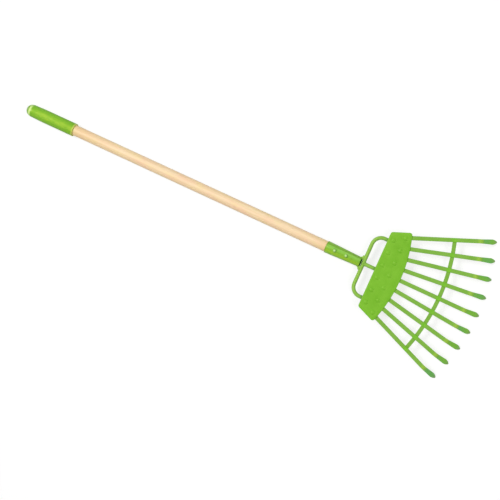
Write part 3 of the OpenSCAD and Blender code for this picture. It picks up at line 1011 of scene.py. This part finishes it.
def eased(share):
    """A share from 0 to 1 that starts and ends gently."""
    return share * share * (3 - 2 * share)


def pole():
    """The turned pole: eased at its hidden start, tapered inside the ferrule."""
    taper_r = ferrule_r(POLE_INSERT) - FERRULE_WALL - FIT_GAP
    profile = [(POLE_START, 0.0)]
    profile += arc((POLE_START + END_CHAMFER, POLE_R - END_CHAMFER), END_CHAMFER,
                   math.pi, math.pi / 2, CHAMFER_STEPS)
    body = MOUTH_X - POLE_START - END_CHAMFER
    profile += [(MOUTH_X - body * (1 - k / POLE_STEPS), POLE_R)
                for k in range(1, POLE_STEPS + 1)]
    profile += [(POLE_END, taper_r), (POLE_END, 0.0)]
    return drilled(turned(profile), MOUTH_R)


def grip_sleeve():
    """The moulded sleeve: domed end, shoulder, slow swell and a rolled open lip."""
    bore_r = POLE_R + FIT_GAP
    step = GRIP_NECK_R - DOME_R
    dome = [(DOME_R - DOME_R * math.cos(a), DOME_R * math.sin(a))
            for a in (math.pi / 2 * k / DOME_STEPS for k in range(DOME_STEPS))]
    shoulder = arc((DOME_R + step, DOME_R), step, math.pi, math.pi / 2, SHOULDER_STEPS)
    swell = []
    for k in range(1, SWELL_STEPS + 1):
        share = k / SWELL_STEPS
        swell.append((DOME_R + step + (GRIP_SWELL_LEN - step) * share,
                      GRIP_NECK_R + (GRIP_R - GRIP_NECK_R) * eased(share)))
    groove = []
    for k in range(GROOVE_STEPS + 1):
        share = k / GROOVE_STEPS
        groove.append((GRIP_LEN - LIP_LEN + 2 * LIP_GROOVE * (2 * share - 1),
                       GRIP_R - LIP_GROOVE * math.sin(math.pi * share) ** 2))
    lip = arc((GRIP_LEN - GRIP_EDGE, GRIP_R - GRIP_EDGE), GRIP_EDGE,
              math.pi / 2, 0, LIP_STEPS)
    inner = arc((GRIP_LEN - RIM_R, bore_r + RIM_R), RIM_R, 0, -math.pi / 2, ROUND_STEPS)
    bore = [(BORE_START, bore_r), (BORE_START, 0.0)]
    return turned(dome + shoulder + swell + groove + lip + inner + bore)


def ferrule():
    """The tapered steel tube, its two rims rounded by the coat."""
    start, end, r = MOUTH_X, FERRULE_END_X, RIM_R
    corners = [(start + r, MOUTH_R - r), (end - r, FERRULE_END_R - r),
               (end - r, FERRULE_END_R - FERRULE_WALL + r),
               (start + r, MOUTH_R - FERRULE_WALL + r)]
    profile = []
    for k, corner in enumerate(corners):
        profile += arc(corner, r, math.pi * (2 - k) / 2, math.pi * (1 - k) / 2, ROUND_STEPS)
    return drilled(turned(profile, loop=True), 2 * MOUTH_R)


def ferrule_rivets(tree):
    """Two rivets through the ferrule: domed heads on top, smaller peened ones below."""
    both = bmesh.new()
    for x in PIN_STATIONS:
        seat = ferrule_r(x - MOUTH_X)
        for side, share, shank in ((1, 1.0, 2 * seat), (-1, PIN_TAIL_SHARE, FERRULE_WALL / 2)):
            head_d = PIN_HEAD_D * share
            head = grow(tree, [(x, 0, side * seat)], {
                "Head diameter": head_d, "Head height": PIN_HEAD_H * share,
                "Foot": seat - math.sqrt(seat ** 2 - (head_d / 2) ** 2),
                "Shank diameter": PIN_D, "Shank length": shank, "Tail diameter": PIN_D,
                "Turn": 0.0 if side > 0 else math.pi})
            both.from_mesh(as_data(head))
    return both


# Yoke and its welds

def yoke_bow(tree):
    """The rod bent into a wide U, its two arms lapping under the head."""
    arm = YOKE_W / 2
    half = [(x, arm, 0) for x in (ROD_END_X, ROD_END_X - END_CHAMFER, BOW_X)]
    path = half + [(x, -y, z) for x, y, z in reversed(half)]
    return grow(tree, path, {"Radius": ROD_R}, closed=False)


def centre_prong():
    """The short rod between the yoke's two arms, coped to fit the cross rod."""
    saddle_r = ROD_R + WELD_GAP

    def coped(share):
        points = ring_at(BOW_X, ROD_R * share, ROD_SIDES)
        for point in points:
            point.x += math.sqrt(saddle_r ** 2 - point.z ** 2)
        return points

    rings = [coped(share) for share in (0, 0.25, 0.5, 0.75, 1)]
    start = BOW_X + saddle_r + END_CHAMFER
    for x, r in ((start, ROD_R), (ROD_END_X - END_CHAMFER, ROD_R),
                 (ROD_END_X, ROD_R - END_CHAMFER), (ROD_END_X, 0.0)):
        rings.append(ring_at(x, r, ROD_SIDES))
    return skin(rings)


def prong_bead(tree):
    """The weld all round the foot of the centre prong, where two round rods meet."""
    # Where the rods meet, the line has a sharp corner above and below. The ease rounds both
    ease = PRONG_BEAD_EASE
    turns = [2 * math.pi * k / PRONG_BEAD_POINTS for k in range(PRONG_BEAD_POINTS)]
    path = [(BOW_X + ROD_R * (math.sqrt(math.cos(a) ** 2 + ease ** 2) - ease / 2),
             ROD_R * math.cos(a), ROD_R * math.sin(a)) for a in turns]
    return grow(tree, path, {
        "Radius": PRONG_BEAD_R, "Ripple": PRONG_BEAD_RIPPLE, "Taper": MERGE_GAP}, closed=True)


def rod_beads(tree):
    """Six beads that hold the three rods under the head, flat against the plate."""
    beads = bmesh.new()
    for y in (-YOKE_W / 2, 0, YOKE_W / 2):
        for side in (-1, 1):
            line = [(x, y + side * ROD_R * BEAD_SHARE, LOWER_Z - BEAD_DROP)
                    for x in (HEAD_X + BEAD_INSET, ROD_END_X - BEAD_INSET)]
            part = grow(tree, line, {"Radius": BEAD_R, "Ceiling": LOWER_Z - WELD_GAP},
                        closed=False)
            beads.from_mesh(as_data(part))
    return beads


def weld_web():
    """The webs beside the ferrule's end: the solid's own form, melted soft and rippled."""
    mesh = bmesh.new()
    mesh.from_mesh(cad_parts["ferrule_welds"].data)
    bmesh.ops.remove_doubles(mesh, verts=mesh.verts, dist=MERGE_GAP)
    holder = put_in_scene("holder", as_data(mesh))
    melt = holder.modifiers.new("Melt", "REMESH")
    melt.mode = "VOXEL"
    melt.voxel_size = WEB_VOXEL
    soften = holder.modifiers.new("Soften", "SMOOTH")
    soften.iterations = WEB_SOFTENINGS
    result = evaluated(holder)
    result.normal_update()
    coarse, fine, fine_share = 900, 2100, 0.5
    for vert in result.verts:
        ripple = noise.noise(vert.co * coarse) + fine_share * noise.noise(vert.co * fine)
        vert.co += vert.normal * (WEB_FULLNESS + ripple * WEB_RIPPLE)
    return result


# Head

def head_outline(inset):
    """The head plate's outline, inset all round: the straight edge, two short sides
    and a slightly curved edge towards the tines."""
    r, a = HEAD_CORNER_R, HEAD_SIDE_ANGLE
    front_x = EDGE_X - HEAD_FRONT_R
    outer_r = HEAD_FRONT_R - inset
    nx, ny = -math.sin(a), math.cos(a)
    back = HEAD_X + inset
    # Each short side is a line; this is its distance from where x and y are 0
    side = nx * HEAD_X + ny * HEAD_BACK_W / 2 - inset
    back_corner = (back + r, (side - r - nx * (back + r)) / ny)
    # Front corner: r inside both the side's line and the curved edge
    off = side - r - nx * front_x
    reach = math.sqrt((outer_r - r) ** 2 - off ** 2)
    front_corner = (front_x + off * nx + reach * math.cos(a), off * ny + reach * math.sin(a))
    front_a = math.atan2(front_corner[1], front_corner[0] - front_x)
    half = arc((front_x, 0), outer_r, 0, front_a, EDGE_STEPS)
    half += arc(front_corner, r, front_a, math.pi / 2 + a, CORNER_STEPS)[1:]
    half += arc(back_corner, r, math.pi / 2 + a, math.pi, CORNER_STEPS)
    return half + [(x, -y) for x, y in reversed(half[1:])]


def rivet_places():
    """The rivets' places in the head: a row of six and a row of seven. The end rivets
    of the front row hold the outer tines, so they follow those."""
    back, front = HEAD_X + RIVET_ROW_BACK, HEAD_X + RIVET_ROW_FRONT
    places = [(back, (k - (BACK_RIVETS - 1) / 2) * RIVET_PITCH) for k in range(BACK_RIVETS)]
    places += [(front, (k - (FRONT_RIVETS - 1) / 2) * RIVET_PITCH)
               for k in range(1, FRONT_RIVETS - 1)]
    end_y = (front - FAN_X) * math.tan(FAN_ANGLE / 2) - RIVET_TINE_INSET
    return places + [(front, -end_y), (front, end_y)]


def plate_plan(inset):
    """A plate's plan as triangles: its outline first, then a ring for each rivet's hole,
    then rings round the rivets and a loose grid between them."""
    outline = head_outline(inset)
    points = list(outline)
    places = rivet_places()
    for radius in (RIVET_HOLE_R, RIVET_HEAD_D / 2, *PLATE_RINGS, DIMPLE_R):
        for place in places:
            points += arc(place, radius, 0, 2 * math.pi * (1 - 1 / HOLE_SIDES), HOLE_SIDES - 1)
    step = PLATE_GRID
    for m in range(int(HEAD_DEPTH / step)):
        for n in range(-int(HEAD_BACK_W / step), int(HEAD_BACK_W / step)):
            x, y = HEAD_X + PLATE_MARGIN + m * step, (n + m % 2 / 2) * step
            side = HEAD_BACK_W / 2 + (x - HEAD_X) * math.tan(HEAD_SIDE_ANGLE) - abs(y)
            clear = min(math.dist((x, y), place) for place in places)
            edge = HEAD_FRONT_R - math.dist((x, y), (EDGE_X - HEAD_FRONT_R, 0))
            if min(side, edge) > PLATE_MARGIN and clear > DIMPLE_R + step / 3:
                points.append((x, y))
    corners, _, faces, sources, _, _ = delaunay_2d_cdt(
        [Vector(point) for point in points], [], [], 0, SAME_PLACE)
    corners = [tuple(corner) for corner in corners]
    # Where each given point is among the corners
    found = {given[0]: k for k, given in enumerate(sources) if given}
    triangles = []
    for face in faces:
        centre = [sum(corners[k][axis] for k in face) / 3 for axis in (0, 1)]
        if min(math.dist(centre, place) for place in places) > RIVET_HOLE_R:
            triangles.append(face)
    rim = [found[k] for k in range(len(outline))]
    starts = [len(outline) + HOLE_SIDES * k for k in range(len(places))]
    rings = [[found[start + k] for k in range(HOLE_SIDES)] for start in starts]
    return corners, triangles, rim, rings


def head_plate(inset, bottom, thickness, dimples, countersunk):
    """A pressed plate: rounded edges, drilled for the rivets, and drawn in a little
    round their heads or countersunk for their tails."""
    r = PLATE_EDGE_R
    corners, triangles, rim, rings = plate_plan(inset + r)
    places = rivet_places()
    sink_r = RIVET_TAIL_D / 2 + HOLE_GAP if countersunk else RIVET_HOLE_R

    def top(x, y):
        near = min(math.dist((x, y), place) for place in places)
        share = max(0.0, min(1.0, (DIMPLE_R - near) / (DIMPLE_R - RIVET_HEAD_D / 2)))
        return bottom + thickness - dimples * eased(share)

    mesh = bmesh.new()
    upper = [mesh.verts.new((x, y, top(x, y))) for x, y in corners]
    lower = [mesh.verts.new((x, y, bottom)) for x, y in corners]
    for ring, place in zip(rings, places):
        for k in ring:
            x, y = corners[k]
            lower[k].co.x = place[0] + (x - place[0]) * sink_r / RIVET_HOLE_R
            lower[k].co.y = place[1] + (y - place[1]) * sink_r / RIVET_HOLE_R
    for face in triangles:
        mesh.faces.new([upper[k] for k in face])
        mesh.faces.new([lower[k] for k in reversed(face)])
    # The rounded edge: loops from the upper face out to the outline and back in
    loops = [[upper[k] for k in rim]]
    quarter = [math.pi / 2 * k / ROUND_STEPS for k in range(1, ROUND_STEPS + 1)]
    levels = [(r * (1 - math.sin(a)), bottom + thickness - r * (1 - math.cos(a))) for a in quarter]
    levels += [(r * (1 - math.cos(a)), bottom + r * (1 - math.sin(a)))
               for a in [0] + quarter[:-1]]
    for out, z in levels:
        loops.append([mesh.verts.new((x, y, z)) for x, y in head_outline(inset + out)])
    loops.append([lower[k] for k in rim])
    walls = list(zip(loops, loops[1:]))
    walls += [([upper[k] for k in ring], [lower[k] for k in ring]) for ring in rings]
    for first, second in walls:
        for k in range(len(first)):
            after = (k + 1) % len(first)
            mesh.faces.new([first[k], first[after], second[after], second[k]])
    return mesh


def head_rivets(tree):
    """The thirteen rivets of the head, domed above and flush below. The tree's own
    sizes are theirs."""
    return grow(tree, [(x, y, HEAD_TOP) for x, y in rivet_places()], {})


# Tines and brace

def tine_angle(number):
    """The angle between a tine, counted from 1, and the middle line."""
    return (number - (TINE_COUNT + 1) / 2) * TINE_PITCH


def tine(tree, number):
    """One tine, from its root between the plates to its tip."""
    angle = tine_angle(number)
    # It starts where both its corners are inside the head's straight edge
    root = ((HEAD_X + ROOT_INSET - FAN_X) / math.cos(angle)
            + TINE_W / 2 * abs(math.tan(angle)))
    # Where the tine crosses the middle of the brace, for the spot weld
    offset = BRACE_X - BRACE_R - FAN_X
    crossing = (offset * math.cos(angle)
                + math.sqrt(BRACE_R ** 2 - (offset * math.sin(angle)) ** 2))
    return grow(tree, strip_outline(TINE_W, TINE_T),
                {"Root": root, "Angle": angle, "Spot": crossing}, closed=True)


def cross_brace(tree):
    """The brace under the tines, from one outer tine to the other."""
    outer = tine_angle(TINE_COUNT)
    # The outer tine's edge is a line; this is its distance from where x and y are 0
    end_line = TINE_W / 2 - FAN_X * math.sin(outer)
    return grow(tree, strip_outline(BRACE_W, BRACE_T),
                {"End angle": outer, "End line": end_line}, closed=True)


# Stage

def seen_directly(nodes):
    """1 for what the camera sees, by itself or in a mirror or through glass."""
    ray = nodes.add("ShaderNodeLightPath", {}, {}, "Is Camera Ray")
    return ray.most(ray.other("Is Glossy Ray")).most(ray.other("Is Transmission Ray"))


def white_stage():
    """A plain white floor. It is seen as white, with a soft light shadow near the rake
    that fades out; the rake itself gets back the light of dull paper."""
    finish = Finish("stage_white")
    nodes = finish.nodes
    seen = seen_directly(nodes)
    along, across, _ = nodes.split(finish.place)
    along = along - (LYING_START + LYING_END) / 2
    along_share = 0.6
    from_middle = (along * along * along_share + across * across).root()
    far = finish.ramp(from_middle, *SHADOW_FADE)
    dull = nodes.add("ShaderNodeBsdfDiffuse", {}, {"Color": DULL_GREY})
    paper = nodes.add("ShaderNodeBsdfDiffuse", {}, {"Color": SEEN_GREY})
    lift = nodes.add("ShaderNodeEmission", {}, {"Color": WHITE, "Strength": SEEN_LIFT})
    lit = nodes.add("ShaderNodeAddShader", {}, {0: paper, 1: lift})
    near = nodes.add("ShaderNodeMixShader", {}, {0: seen, 1: dull, 2: lit})
    plain = nodes.add("ShaderNodeEmission", {}, {"Color": WHITE, "Strength": 1.0})
    surface = nodes.add("ShaderNodeMixShader", {}, {0: seen * far, 1: near, 2: plain})
    nodes.add("ShaderNodeOutputMaterial", {}, {"Surface": surface})
    return finish.material


def stage():
    """The floor under the rake."""
    data = bpy.data.meshes.new("floor")
    corners = [(FLOOR_HALF * x, FLOOR_HALF * y, 0)
               for x, y in ((-1, -1), (1, -1), (1, 1), (-1, 1))]
    data.from_pydata(corners, [], [range(len(corners))])
    data.materials.append(white_stage())
    floor = put_in_scene("floor", data)


def world_light(strength):
    """An even white surround that lights at one strength and is seen as plain white."""
    world = bpy.data.worlds.new("surround")
    world.use_nodes = True
    world.node_tree.nodes.clear()
    nodes = Nodes(world.node_tree)
    level = strength + (1 - strength) * seen_directly(nodes)
    surround = nodes.add("ShaderNodeBackground", {}, {"Color": WHITE, "Strength": level})
    nodes.add("ShaderNodeOutputWorld", {}, {"Surface": surround})
    bpy.context.scene.world = world


def soft_lamp(name, direction, share, size, tint, distance):
    """A square soft lamp; share is the part of plain daylight level that it gives."""
    data = bpy.data.lights.new(name, "AREA")
    data.shape = "SQUARE"
    data.size = size
    data.energy = share * math.pi ** 2 * distance ** 2
    data.color = tint
    lamp = put_in_scene(name, data)
    away = Vector(direction).normalized()
    lamp.matrix_world = (
        Matrix.Translation(away * distance) @ away.to_track_quat("Z", "Y").to_matrix().to_4x4())


def light_rake():
    """An even surround, two large soft lamps above, and three weak ones for the edges."""
    world_light(SURROUND)
    for lamp in LAMPS:
        soft_lamp(*lamp)


def stand_camera():
    """The camera over the rake, which looks along the photograph's line of sight."""
    forward = Vector((-math.sin(CAMERA_LEAN), 0, -math.cos(CAMERA_LEAN)))
    along = Vector((math.cos(CAMERA_LEAN), 0, -math.sin(CAMERA_LEAN)))
    across = Vector((0, -1, 0))
    tilt, roll = CAMERA_SIDE_TILT, CAMERA_ROLL
    forward, across = (forward * math.cos(tilt) + across * math.sin(tilt),
                       across * math.cos(tilt) - forward * math.sin(tilt))
    right = along * math.cos(roll) - across * math.sin(roll)
    down = along * math.sin(roll) + across * math.cos(roll)
    facing = Matrix((right, -down, -forward)).transposed().to_4x4()
    data = bpy.data.cameras.new("camera")
    data.lens = CAMERA_LENS
    data.sensor_width = SENSOR
    data.clip_start = NEAREST
    data.clip_end = FARTHEST
    camera = put_in_scene("camera", data)
    camera.matrix_world = LAY @ Matrix.Translation(CAMERA_PLACE) @ facing
    bpy.context.scene.camera = camera


def mount(mesh, name, material, node, lay=True):
    """Makes a piece of a mesh, and lets it stand for its CAD node on the rake."""
    piece = settle(mesh, name, material, lay)
    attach(piece, "root")
    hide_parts(node)


def build_rake():
    """Every piece of the rake, each in place of one CAD node."""
    wood, plastic = lacquered_wood(), glossy_sleeve()
    mount(pole(), "pole", wood, "handle_pole")
    mount(grip_sleeve(), "grip", plastic, "grip_sleeve")

    sheet, strip, round_bar = sheet_coat(), strip_coat(), rod_coat()
    tube, worn = ferrule_coat(), glint_coat()
    beads, rods = bead_tree(round_bar), rod_tree(round_bar)
    tines, braces = tine_tree(strip), brace_tree(strip)
    steel = [
        (ferrule(), "ferrule_tube", tube, "ferrule"),
        (ferrule_rivets(rivet_tree(worn)), "ferrule_rivet_pair", worn, "ferrule_rivets"),
        (yoke_bow(rods), "bow_rod", round_bar, "yoke_bow"),
        (centre_prong(), "prong_rod", round_bar, "centre_prong"),
        (prong_bead(beads), "prong_bead", round_bar, "prong_weld"),
        (rod_beads(beads), "rod_beads", round_bar, "rod_welds"),
        (head_plate(0.0, UPPER_Z, UPPER_T, DIMPLE_DEPTH, False),
         "upper_plate", sheet, "upper_head_plate"),
        (head_plate(LOWER_INSET, LOWER_Z, LOWER_T, 0.0, True),
         "lower_plate", sheet, "lower_head_plate"),
        (head_rivets(rivet_tree(sheet)), "rivet_set", sheet, "head_rivets"),
        (cross_brace(braces), "brace_strip", strip, "cross_brace"),
    ]
    for number in range(1, TINE_COUNT + 1):
        steel.append((tine(tines, number), f"tine_strip_{number}", strip, f"tine_{number}"))
    for mesh, name, coat, node in steel:
        mount(mesh, name, coat, node)
    mount(weld_web(), "weld_webs", round_bar, "ferrule_welds", lay=False)


build_rake()
stage()
light_rake()
stand_camera()
bpy.context.scene.view_settings.view_transform = "Standard"
